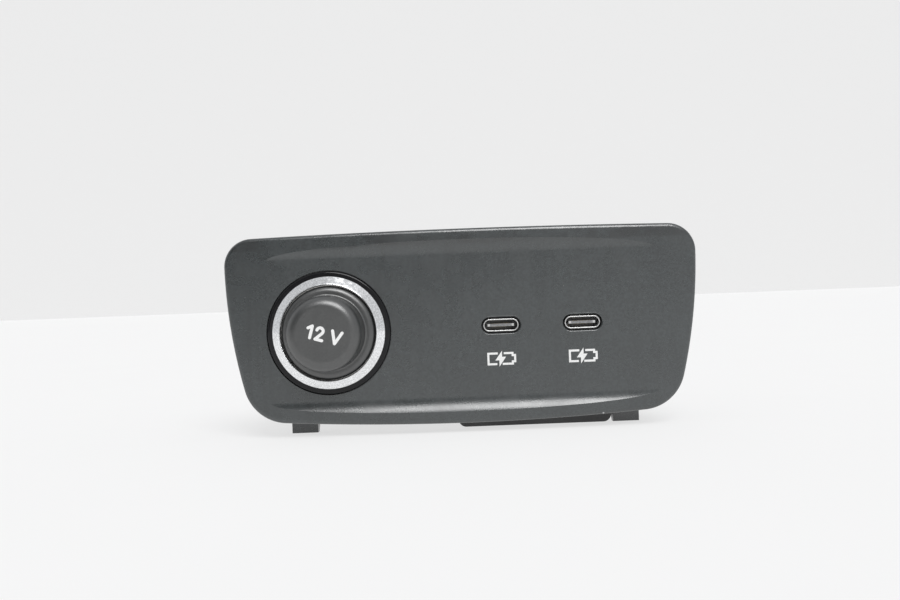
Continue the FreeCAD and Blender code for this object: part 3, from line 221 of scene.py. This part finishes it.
def painted_crease_shade_and_chip(tree, tone, colour):
    """Blotches of painted shade along the crease under the upper lip, and one pale chip on the lower lip."""
    place = add_node(tree, "ShaderNodeSeparateXYZ")
    tree.links.new(stretched(tree), place.inputs["Vector"])
    # Painted shade: blotchy darkening from just under the upper lip's crease up over the lip
    near_lip = remap(tree, place.outputs["Z"], *CREASE_SHADE_RISE, 0, CREASE_SHADE_SHARE)
    shade_blotch = clouds(tree, 9 * MM, detail=5.0, rough=0.7, span=(0.46, 0.6), scale=(0.7, 1, 1.5))
    tone = tint(tree, combine(tree, "MULTIPLY", near_lip, shade_blotch), tone, scaled(colour, CREASE_SHADE_TONE))
    reach = add_node(tree, "ShaderNodeVectorMath", operation="DISTANCE")
    tree.links.new(stretched(tree, (1, 0, 1)), reach.inputs[0])
    reach.inputs[1].default_value = CHIP_AT
    chip = remap(tree, reach.outputs["Value"], CHIP_RADIUS / 2, CHIP_RADIUS, 1, 0)
    return tint(tree, chip, tone, CHIP_GREY)


def grained_plastic(name, colour, roughness, grain, depth, dust=0.0, spread=0.12, index=1.5, crease_shade_and_chip=False):
    """Moulded plastic with a fine etched grain, cloudy tone, faint rub marks and some dust.

    grain and depth are the size and the relief of its pebbles, and spread is how far its tone varies.
    """
    material, tree, shader = new_material(name, colour, roughness, specular=1.0)
    shader.inputs["IOR"].default_value = index
    cloud = clouds(tree, 14 * MM, detail=3.0, rough=0.6)
    tone = shades(tree, cloud, colour, low=1 - spread, high=1 + spread)
    speck = clouds(tree, 0.55 * MM, detail=2.0, rough=0.7, span=(0.35, 0.65))
    pitted = shades(tree, speck, colour, low=0.6, high=1.5)
    share = clouds(tree, 30 * MM, detail=1.0, rough=0.5, to=(0.4, 0.6))
    tone = tint(tree, share, tone, pitted)
    streak = clouds(tree, 5 * MM, detail=4.0, rough=0.6, span=(0.5, 0.72), scale=(2.2, 1, 0.18))
    streak = combine(tree, "MULTIPLY", streak, STREAK_SHARE)
    tone = tint(tree, streak, tone, scaled(colour, STREAK_TONE))
    # Painted shade along the upper lip's crease, with a pale chip on the lower lip
    if crease_shade_and_chip:
        tone = painted_crease_shade_and_chip(tree, tone, colour)
    if dust:
        mote = motes(tree, spacing=3.1 * MM, size=0.06)
        patch = clouds(tree, 20 * MM, detail=2.0, rough=0.5, span=(0.55, 0.7))
        mote = combine(tree, "MULTIPLY", mote, patch)
        tone = tint(tree, combine(tree, "MULTIPLY", mote, dust), tone, DUST_GREY)
    limits = (roughness - 0.03, roughness + 0.05)
    rub = clouds(tree, 9 * MM, detail=4.0, rough=0.65, span=(0.35, 0.7), to=limits)
    pebbles = cells(tree, grain, "SMOOTH_F1")
    fine = noise(tree, grain / FINE_GRAIN, detail=2.0, rough=0.6)
    relief = combine(tree, "ADD", pebbles, combine(tree, "MULTIPLY", fine, FINE_SHARE))
    dress(tree, shader, tone, relief, depth, sheen=rub)
    return material


def gloss_plastic(name, colour, roughness):
    """Polished moulding: slight orange peel, fine wipe marks and a little dust."""
    material, tree, shader = new_material(name, colour, roughness, specular=0.3)
    limits = (roughness, roughness + 0.12)
    haze = clouds(tree, 2.5 * MM, detail=4.0, rough=0.7, span=(0.4, 0.75), to=limits)
    mote = motes(tree, spacing=1.6 * MM, size=0.05)
    tone = tint(tree, combine(tree, "MULTIPLY", mote, GLOSS_DUST_SHARE), colour, GLOSS_DUST_GREY)
    peel = noise(tree, 0.9 * MM, detail=1.0, rough=0.4)
    dress(tree, shader, tone, peel, depth=0.004 * MM, sheen=haze)
    return material


def satin_metal(name, colour, roughness, grain, depth, stretch=(1, 1, 1)):
    """Metal with a fine directional or frosted grain and patchy sheen."""
    material, tree, shader = new_material(name, colour, roughness, metallic=1.0)
    frost = noise(tree, grain, detail=3.0, rough=0.7, scale=stretch)
    tone = shades(tree, remap(tree, frost, *NOISE_SPAN, 0, 1), colour, low=0.8, high=1.08)
    sheen = clouds(tree, 4 * MM, detail=3.0, rough=0.6, to=(roughness - 0.06, roughness + 0.08))
    dress(tree, shader, tone, frost, depth, sheen)
    return material


def turned_metal(name, colour, roughness, pitch):
    """Metal with fine rings round the socket's axis, as drawing and turning leave."""
    material, tree, shader = new_material(name, colour, roughness, metallic=1.0)
    rings = noise(tree, pitch, detail=2.0, rough=0.6, scale=(0.02, 1, 0.02))
    tone = shades(tree, remap(tree, rings, *NOISE_SPAN, 0, 1), colour, low=0.82, high=1.05)
    stain = clouds(tree, 6 * MM, detail=4.0, rough=0.6, span=(0.5, 0.75), to=(0, 0.5))
    tone = tint(tree, stain, tone, scaled(colour, STAIN_TONE))
    sheen = remap(tree, rings, *NOISE_SPAN, roughness - 0.05, roughness + 0.08)
    dress(tree, shader, tone, rings, depth=0.006 * MM, sheen=sheen)
    return material


def frosted_ring(name, colour, roughness):
    """Satin silver of the trim ring: fine sparkling grain that catches light in specks."""
    material, tree, shader = new_material(name, colour, roughness, metallic=1.0)
    grit = noise(tree, 0.4 * MM, detail=3.0, rough=0.75)
    fleck = remap(tree, grit, low=0.4, high=0.62, to_low=0, to_high=1)
    tone = shades(tree, fleck, colour, low=0.82, high=1.06)
    limits = (roughness - 0.06, roughness + 0.1)
    sheen = clouds(tree, 1.2 * MM, detail=3.0, rough=0.6, span=(0.35, 0.65), to=limits)
    dress(tree, shader, tone, grit, depth=0.01 * MM, sheen=sheen)
    return material


def board_laminate(name, mask, bare, roughness):
    """Circuit board: solder mask over faint tracks."""
    material, tree, shader = new_material(name, mask, roughness)
    tracks = remap(tree, cells(tree, 2.4 * MM, "DISTANCE_TO_EDGE"), *TRACK_EDGE, 1, 0)
    tone = tint(tree, combine(tree, "MULTIPLY", tracks, TRACK_SHARE), mask, bare)
    dress(tree, shader, tone, tracks, depth=0.02 * MM)
    return material


def print_ink(name, colour, roughness):
    """Pad-printed ink: slightly uneven, with a soft sheen."""
    material, tree, shader = new_material(name, colour, roughness)
    patch = clouds(tree, 0.5 * MM, detail=3.0, rough=0.7)
    tone = shades(tree, patch, colour, low=0.88, high=1)
    grit = noise(tree, 0.25 * MM, detail=2.0, rough=0.6)
    dress(tree, shader, tone, grit, depth=0.01 * MM)
    return material


panel_plastic = grained_plastic(
    "panel_grain",
    (0.0245, 0.03, 0.031),
    roughness=0.28,
    grain=0.32 * MM,
    depth=0.014 * MM,
    dust=0.5,
    spread=0.16,
    index=1.57,
    crease_shade_and_chip=True,
)
cap_plastic = grained_plastic(
    "cap_soft_touch",
    (0.02, 0.0215, 0.021),
    roughness=0.36,
    grain=0.24 * MM,
    depth=0.015 * MM,
    dust=0.2,
    spread=0.06,
    index=1.65,
)
housing_plastic = grained_plastic(
    "housing_black", (0.021, 0.021, 0.022), roughness=0.45, grain=0.4 * MM, depth=0.015 * MM, dust=0.15
)
tongue_plastic = grained_plastic(
    "tongue_grey", (0.19, 0.19, 0.195), roughness=0.45, grain=0.15 * MM, depth=0.008 * MM
)
insulator_plastic = grained_plastic(
    "insulator_tan", (0.5, 0.43, 0.31), roughness=0.5, grain=0.3 * MM, depth=0.01 * MM
)
component_black = grained_plastic(
    "component_black", (0.03, 0.03, 0.032), roughness=0.5, grain=0.2 * MM, depth=0.01 * MM
)
collar_plastic = gloss_plastic("collar_gloss", (0.008, 0.008, 0.009), roughness=0.1)
ring_metal = frosted_ring("ring_satin_silver", (0.93, 0.94, 0.95), roughness=0.18)
barrel_metal = turned_metal("barrel_drawn_steel", (0.62, 0.61, 0.59), roughness=0.25, pitch=0.25 * MM)
contact_metal = turned_metal("contact_brass", (0.83, 0.62, 0.27), roughness=0.25, pitch=0.2 * MM)
shell_metal = satin_metal(
    "shell_steel", (0.76, 0.76, 0.75), roughness=0.25, grain=0.12 * MM, depth=0.004 * MM
)
blade_metal = satin_metal(
    "blade_tinned", (0.72, 0.7, 0.66), roughness=0.3, grain=0.2 * MM, depth=0.006 * MM, stretch=(1, 0.08, 1)
)
clip_metal = satin_metal(
    "clip_spring_steel",
    (0.36, 0.36, 0.37),
    roughness=0.35,
    grain=0.2 * MM,
    depth=0.006 * MM,
    stretch=(0.08, 1, 1),
)
screw_metal = satin_metal(
    "screw_zinc", (0.6, 0.6, 0.58), roughness=0.32, grain=0.2 * MM, depth=0.004 * MM
)
can_metal = satin_metal(
    "capacitor_can", (0.75, 0.75, 0.76), roughness=0.3, grain=0.15 * MM, depth=0.003 * MM, stretch=(1, 0.1, 1)
)
laminate = board_laminate("board_mask", (0.01, 0.075, 0.04), (0.03, 0.16, 0.07), roughness=0.4)
ink = print_ink("mark_white", (0.82, 0.82, 0.81), roughness=0.5)

# Material of each piece; a left and a right piece share one entry
NODE_MATERIALS = {
    "front_panel": panel_plastic,
    "socket_cap": cap_plastic,
    "socket_sleeve": collar_plastic,
    "trim_ring": ring_metal,
    "socket_barrel": barrel_metal,
    "contact_insulator": insulator_plastic,
    "rear_insulator": insulator_plastic,
    "centre_contact": contact_metal,
    "positive_terminal": blade_metal,
    "negative_terminal": blade_metal,
    "connector_pins": blade_metal,
    "socket_connector": housing_plastic,
    "usb_front_cover": housing_plastic,
    "usb_rear_housing": housing_plastic,
    "usb_circuit_board": laminate,
    "power_inductors": component_black,
    "controller_chips": component_black,
    "bulk_capacitors": can_metal,
    "module_screws": screw_metal,
    "usb_shell": shell_metal,
    "usb_mid_plate": shell_metal,
    "usb_tongue": tongue_plastic,
    "usb_contacts": contact_metal,
    "spring_clip": clip_metal,
}
for name, node in nodes.items():
    base = name.removesuffix("_left").removesuffix("_right")
    node.data.materials.clear()
    node.data.materials.append(NODE_MATERIALS[base])


# Printed marks


INK_THICKNESS = 0.02 * MM
LAYER_STEP = 0.01  # each stroke of a mark lies this share of the thickness higher than the last
WELD = 0.0001 * MM  # corners of a mark that lie closer than this are one


def add_piece(name, mesh, material):
    """Turns a finished mesh into a piece of the scene."""
    bmesh.ops.recalc_face_normals(mesh, faces=mesh.faces)
    data = bpy.data.meshes.new(name)
    mesh.to_mesh(data)
    mesh.free()
    data.materials.append(material)
    piece = bpy.data.objects.new(name, data)
    bpy.context.scene.collection.objects.link(piece)
    return piece


def stroke(path, width):
    """Flat band of a given width along a path of (x, z) points, as a list of corner pairs."""
    pairs = []
    points = [Vector(p) for p in path]
    for i, point in enumerate(points):
        back = (point - points[i - 1]).normalized() if i else None
        ahead = (points[i + 1] - point).normalized() if i + 1 < len(points) else None
        first = back or ahead
        second = ahead or back
        side = Vector((-first.y - second.y, first.x + second.x)).normalized()
        reach = width / 2 / side.dot(Vector((-first.y, first.x)))
        pairs.append((point + side * reach, point - side * reach))
    return pairs


def disc(point, radius, sides=16):
    """Round plate."""
    turns = [2 * math.pi * i / sides for i in range(sides)]
    return [Vector((point[0] + radius * math.cos(t), point[1] + radius * math.sin(t))) for t in turns]


def mark(name, bands, plates, place):
    """Thin raised print made of bands and closed plates; place turns (x, z, height) into a point."""
    mesh = bmesh.new()
    outlines = []
    for pairs in bands:
        for (a, b), (c, d) in zip(pairs, pairs[1:]):
            outlines.append([a, b, d, c])
    outlines += [[Vector(p) for p in plate] for plate in plates]
    for rank, outline in enumerate(outlines):
        level = INK_THICKNESS * (1 + rank * LAYER_STEP)
        front = [mesh.verts.new(place(p.x, p.y, level)) for p in outline]
        back = [mesh.verts.new(place(p.x, p.y, 0)) for p in outline]
        mesh.faces.new(front)
        mesh.faces.new(back[::-1])
        for i in range(len(outline)):
            j = (i + 1) % len(outline)
            mesh.faces.new((front[i], back[i], back[j], front[j]))
    bmesh.ops.remove_doubles(mesh, verts=mesh.verts, dist=WELD)
    return add_piece(name, mesh, ink)


# Voltage mark on the cap, drawn with the height of its figures as 1
FIGURE_HEIGHT = 3.65 * MM
FIGURE_STROKE = 0.2
FLAG_TIP = (-0.25, 0.71)
BOW_X = 0.56  # middle of the round part of the two
BOW_RADIUS = 0.21
BOW_DEGREES = range(175, -36, -15)  # from its left end over the top to where the slant begins
TWO_FOOT_X = (0.36, 0.82)
VEE_X = (1.36, 1.68, 2.0)
MARK_TURN = math.radians(-15.8)
MARK_SHIFT = (0.35 * MM, -0.13 * MM)


def voltage_mark():
    """Figures and letter on the cap's face, with round stroke ends, turned as the cap sits."""
    foot = FIGURE_STROKE / 2
    top = 1 - foot
    stem = [(0, foot), (0, top)]
    flag = [FLAG_TIP, (0, top)]
    two = []
    for degrees in BOW_DEGREES:
        angle = math.radians(degrees)
        rise = top - BOW_RADIUS + BOW_RADIUS * math.sin(angle)
        two.append((BOW_X + BOW_RADIUS * math.cos(angle), rise))
    two += [(x, foot) for x in TWO_FOOT_X]
    vee = list(zip(VEE_X, (top, foot, top)))
    middle = (flag[0][0] + vee[-1][0]) / 2
    cos = math.cos(MARK_TURN)
    sin = math.sin(MARK_TURN)

    def place(x, z, height):
        u = (x - middle) * FIGURE_HEIGHT
        v = (z - 0.5) * FIGURE_HEIGHT
        across = u * cos - v * sin + MARK_SHIFT[0]
        upright = u * sin + v * cos + MARK_SHIFT[1]
        return Vector((SOCKET_X + across, CAP_FACE_Y - height, SOCKET_Z + upright))

    paths = [stem, flag, two[:-1], two[-2:], vee[:2], vee[1:]]
    ends = [stem[0], stem[1], flag[0], two[0], two[-2], two[-1]] + vee
    plates = [disc(end, FIGURE_STROKE / 2) for end in ends]
    bands = [stroke(path, FIGURE_STROKE) for path in paths]
    return mark("voltage_mark", bands, plates, place)


# Charging mark under each port: a cell outline with a bolt through it, in millimetres
CELL_STROKE = 0.52
CELL_DROP = 8.45  # below the port's middle
CELL_SHIFT = -0.15
CELL_LEFT = -3.35
CELL_RIGHT = 2.77
CELL_RISE = 1.34
NUB_X = 3.38
NUB_RISE = 0.78
UPPER_GAP = (-0.95, 0.55)  # where the bolt breaks the outline's upper line
LOWER_GAP = (-1.15, 0.2)
UPPER_BOLT = [(0.12, 2.0), (-1.62, -0.42), (0.0, -0.42), (0.12, 0.46)]
LOWER_BOLT = [(-0.62, -2.0), (1.1, 0.46), (0.12, 0.46), (0.0, -0.42), (-0.6, -0.42)]


def charging_mark(name, low, high):
    """Cell and bolt on the flat field, under the port whose shell reaches from low to high."""
    left = [
        (UPPER_GAP[0], CELL_RISE),
        (CELL_LEFT, CELL_RISE),
        (CELL_LEFT, -CELL_RISE),
        (LOWER_GAP[0], -CELL_RISE),
    ]
    right = [
        (UPPER_GAP[1], CELL_RISE),
        (CELL_RIGHT, CELL_RISE),
        (CELL_RIGHT, NUB_RISE),
        (NUB_X, NUB_RISE),
        (NUB_X, -NUB_RISE),
        (CELL_RIGHT, -NUB_RISE),
        (CELL_RIGHT, -CELL_RISE),
        (LOWER_GAP[1], -CELL_RISE),
    ]
    middle = (low + high) / 2

    def place(x, z, height):
        across = middle.x + (x + CELL_SHIFT) * MM
        return Vector((across, FIELD_Y - height, middle.z + (z - CELL_DROP) * MM))

    bands = [stroke(left, CELL_STROKE), stroke(right, CELL_STROKE)]
    return mark(name, bands, [UPPER_BOLT, LOWER_BOLT], place)


# Rounded slot edges


SLOT_GAP = 0.47 * MM  # between shell and slot
SLOT_EDGE = 0.3 * MM
EDGE_STEPS = 8
END_STEPS = 16


def slot_edge(name, low, high):
    """Slim ring with a rounded front that lies on the bevel of the panel's slot round one port."""
    middle = (low + high) / 2
    radius = (high.z - low.z) / 2 + SLOT_GAP
    straight = (high.x - low.x) / 2 + SLOT_GAP - radius
    turns = [math.pi / 2 * i / EDGE_STEPS for i in range(EDGE_STEPS + 1)]
    section = [(SLOT_EDGE * (1 - math.cos(t)), SLOT_EDGE * (1 - math.sin(t))) for t in turns]
    section.append((SLOT_EDGE, SLOT_EDGE))
    mesh = bmesh.new()
    loops = []
    for end in (1, -1):
        centre = Vector((middle.x + end * straight, FIELD_Y, middle.z))
        for i in range(END_STEPS + 1):
            angle = math.pi * (i / END_STEPS - 0.5 * end)
            out = Vector((math.cos(angle), 0, math.sin(angle)))
            loop = []
            for width, depth in section:
                corner = centre + out * (radius + width) + Vector((0, depth, 0))
                loop.append(mesh.verts.new(corner))
            loops.append(loop)
    for first, second in zip(loops, loops[1:] + loops[:1]):
        for i in range(len(section)):
            j = (i + 1) % len(section)
            face = mesh.faces.new((first[i], first[j], second[j], second[i]))
            face.smooth = i < EDGE_STEPS
    return add_piece(name, mesh, panel_plastic)


voltage = voltage_mark()
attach(voltage, CAP_BODY)
for side, (low, high) in zip(("left", "right"), shell_boxes):
    symbol = charging_mark("charging_mark_" + side, low, high)
    edge = slot_edge("slot_edge_" + side, low, high)
    for piece in (symbol, edge):
        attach(piece, PANEL_BODY)


# Studio


# Floor and backdrop, in metres; each has a grey of its own and the pale tone that the eye is shown
STAGE_HALF = 7.0
STAGE_FRONT = -7.0
BACKDROP_Y = 9.0
BACKDROP_TOP = 5.0
FLOOR_GREY = 0.84
FLOOR_PALE = 0.95
FLOOR_SHARE = 0.7
BACKDROP_GREY = 0.74
BACKDROP_PALE = 0.84
BACKDROP_SHARE = 0.85


def stage_sheet(name, near, far, grey, pale, share):
    """Matt sheet of the studio between two edges, each given by its y and z.

    To the eye a share of its tone is plain pale, and the rest takes the shadows.
    """
    colour = (grey, grey, grey)
    material, tree, shader = new_material(name + "_paper", colour, roughness=0.9, specular=0.1)
    patch = clouds(tree, 60 * MM, detail=3.0, rough=0.6)
    tone = shades(tree, patch, colour, low=0.985, high=1)
    tree.links.new(tone, shader.inputs["Base Color"])
    plain = add_node(tree, "ShaderNodeEmission", Color=(pale, pale, pale, 1), Strength=1.0)
    blend = add_node(tree, "ShaderNodeMixShader")
    share_in, paper_in, plain_in = blend.inputs
    tree.links.new(combine(tree, "MULTIPLY", seen_rays(tree), share), share_in)
    tree.links.new(shader.outputs["BSDF"], paper_in)
    tree.links.new(plain.outputs["Emission"], plain_in)
    tree.links.new(blend.outputs["Shader"], tree.nodes["Material Output"].inputs["Surface"])
    material.cycles.emission_sampling = "NONE"
    corners = [(-STAGE_HALF, *near), (STAGE_HALF, *near), (STAGE_HALF, *far), (-STAGE_HALF, *far)]
    data = bpy.data.meshes.new(name)
    data.from_pydata(corners, [], [(0, 1, 2, 3)])
    data.materials.append(material)
    sheet = bpy.data.objects.new(name, data)
    bpy.context.scene.collection.objects.link(sheet)


front_edge = (STAGE_FRONT, FLOOR_Z)
rear_edge = (BACKDROP_Y, FLOOR_Z)
top_edge = (BACKDROP_Y, BACKDROP_TOP)
stage_sheet("floor", front_edge, rear_edge, FLOOR_GREY, FLOOR_PALE, FLOOR_SHARE)
stage_sheet("backdrop", rear_edge, top_edge, BACKDROP_GREY, BACKDROP_PALE, BACKDROP_SHARE)

# Soft room light, stronger from above. The room shows pale behind the object, and greyer overhead
# and behind the camera, also in reflections; its left side is the darker one. Each span is the part
# of a direction's x, y or z over which one tone turns into the next.
ROOM_TINT = (0.97, 0.98, 1.0)
HORIZON_LIGHT = 0.52
ZENITH_LIGHT = 0.64
LIGHT_SPAN = (0.05, 0.8)
ROOM_PALE = 0.74
PALE_SPAN = (-0.8, 0.0)
ROOM_TOP = 0.52
TOP_SPAN = (0.3, 0.7)
ROOM_LEFT = 0.06
ROOM_RIGHT = 0.52
SIDE_SPAN = (-0.25, 0.2)


def room_light():
    """Room round the object: soft light on its surfaces, and the tones that it stands in and mirrors."""
    world = bpy.data.worlds.new("studio")
    world.use_nodes = True
    sky = world.node_tree
    background = sky.nodes["Background"]
    background.inputs["Color"].default_value = (*ROOM_TINT, 1)
    heading = add_node(sky, "ShaderNodeTexCoord")
    parts = add_node(sky, "ShaderNodeSeparateXYZ")
    sky.links.new(heading.outputs["Generated"], parts.inputs["Vector"])
    glow = remap(sky, parts.outputs["Z"], *LIGHT_SPAN, HORIZON_LIGHT, ZENITH_LIGHT)
    grey = remap(sky, parts.outputs["X"], *SIDE_SPAN, ROOM_LEFT, ROOM_RIGHT)
    behind = remap(sky, parts.outputs["Y"], *PALE_SPAN, 0, 1)
    lift = combine(sky, "MULTIPLY", behind, combine(sky, "SUBTRACT", ROOM_PALE, grey))
    above = remap(sky, parts.outputs["Z"], *TOP_SPAN, 0, ROOM_TOP)
    room = combine(sky, "MAXIMUM", combine(sky, "ADD", grey, lift), above)
    seen = seen_rays(sky)
    light = combine(sky, "MULTIPLY", glow, combine(sky, "SUBTRACT", 1, seen))
    level = combine(sky, "ADD", light, combine(sky, "MULTIPLY", room, seen))
    sky.links.new(level, background.inputs["Strength"])
    world.cycles.sampling_method = "NONE"
    bpy.context.scene.world = world


LAMP_FROM = (0.17, -0.698, 0.695)  # in front, above and a little to the right
LAMP_STRENGTH = 0.62  # what a facing sheet receives
LAMP_SPREAD = math.radians(35)


def softbox():
    """Broad distant lamp."""
    data = bpy.data.lights.new("softbox", "SUN")
    data.energy = LAMP_STRENGTH * math.pi
    data.angle = LAMP_SPREAD
    light = bpy.data.objects.new("softbox", data)
    light.rotation_mode = "QUATERNION"
    light.rotation_quaternion = Vector(LAMP_FROM).to_track_quat("Z", "Y")
    bpy.context.scene.collection.objects.link(light)


# Camera in front of the panel, just left of its middle: level, and rolled slightly
CAMERA_AT = Vector((-2.875, -258.0, 6.55)) * MM
CAMERA_ROLL = math.radians(-2.2)
LENS = 39.7
SENSOR_WIDTH = 36.0
CLIP_START = 10 * MM


def place_camera():
    """Camera that looks along +Y."""
    data = bpy.data.cameras.new("camera")
    data.lens = LENS
    data.sensor_width = SENSOR_WIDTH
    data.clip_start = CLIP_START
    camera = bpy.data.objects.new("camera", data)
    turn = Matrix.Rotation(math.radians(90), 4, "X") @ Matrix.Rotation(CAMERA_ROLL, 4, "Z")
    camera.matrix_world = Matrix.Translation(CAMERA_AT) @ turn
    bpy.context.scene.collection.objects.link(camera)
    bpy.context.scene.camera = camera


room_light()
softbox()
place_camera()
bpy.context.scene.view_settings.view_transform = "Standard"
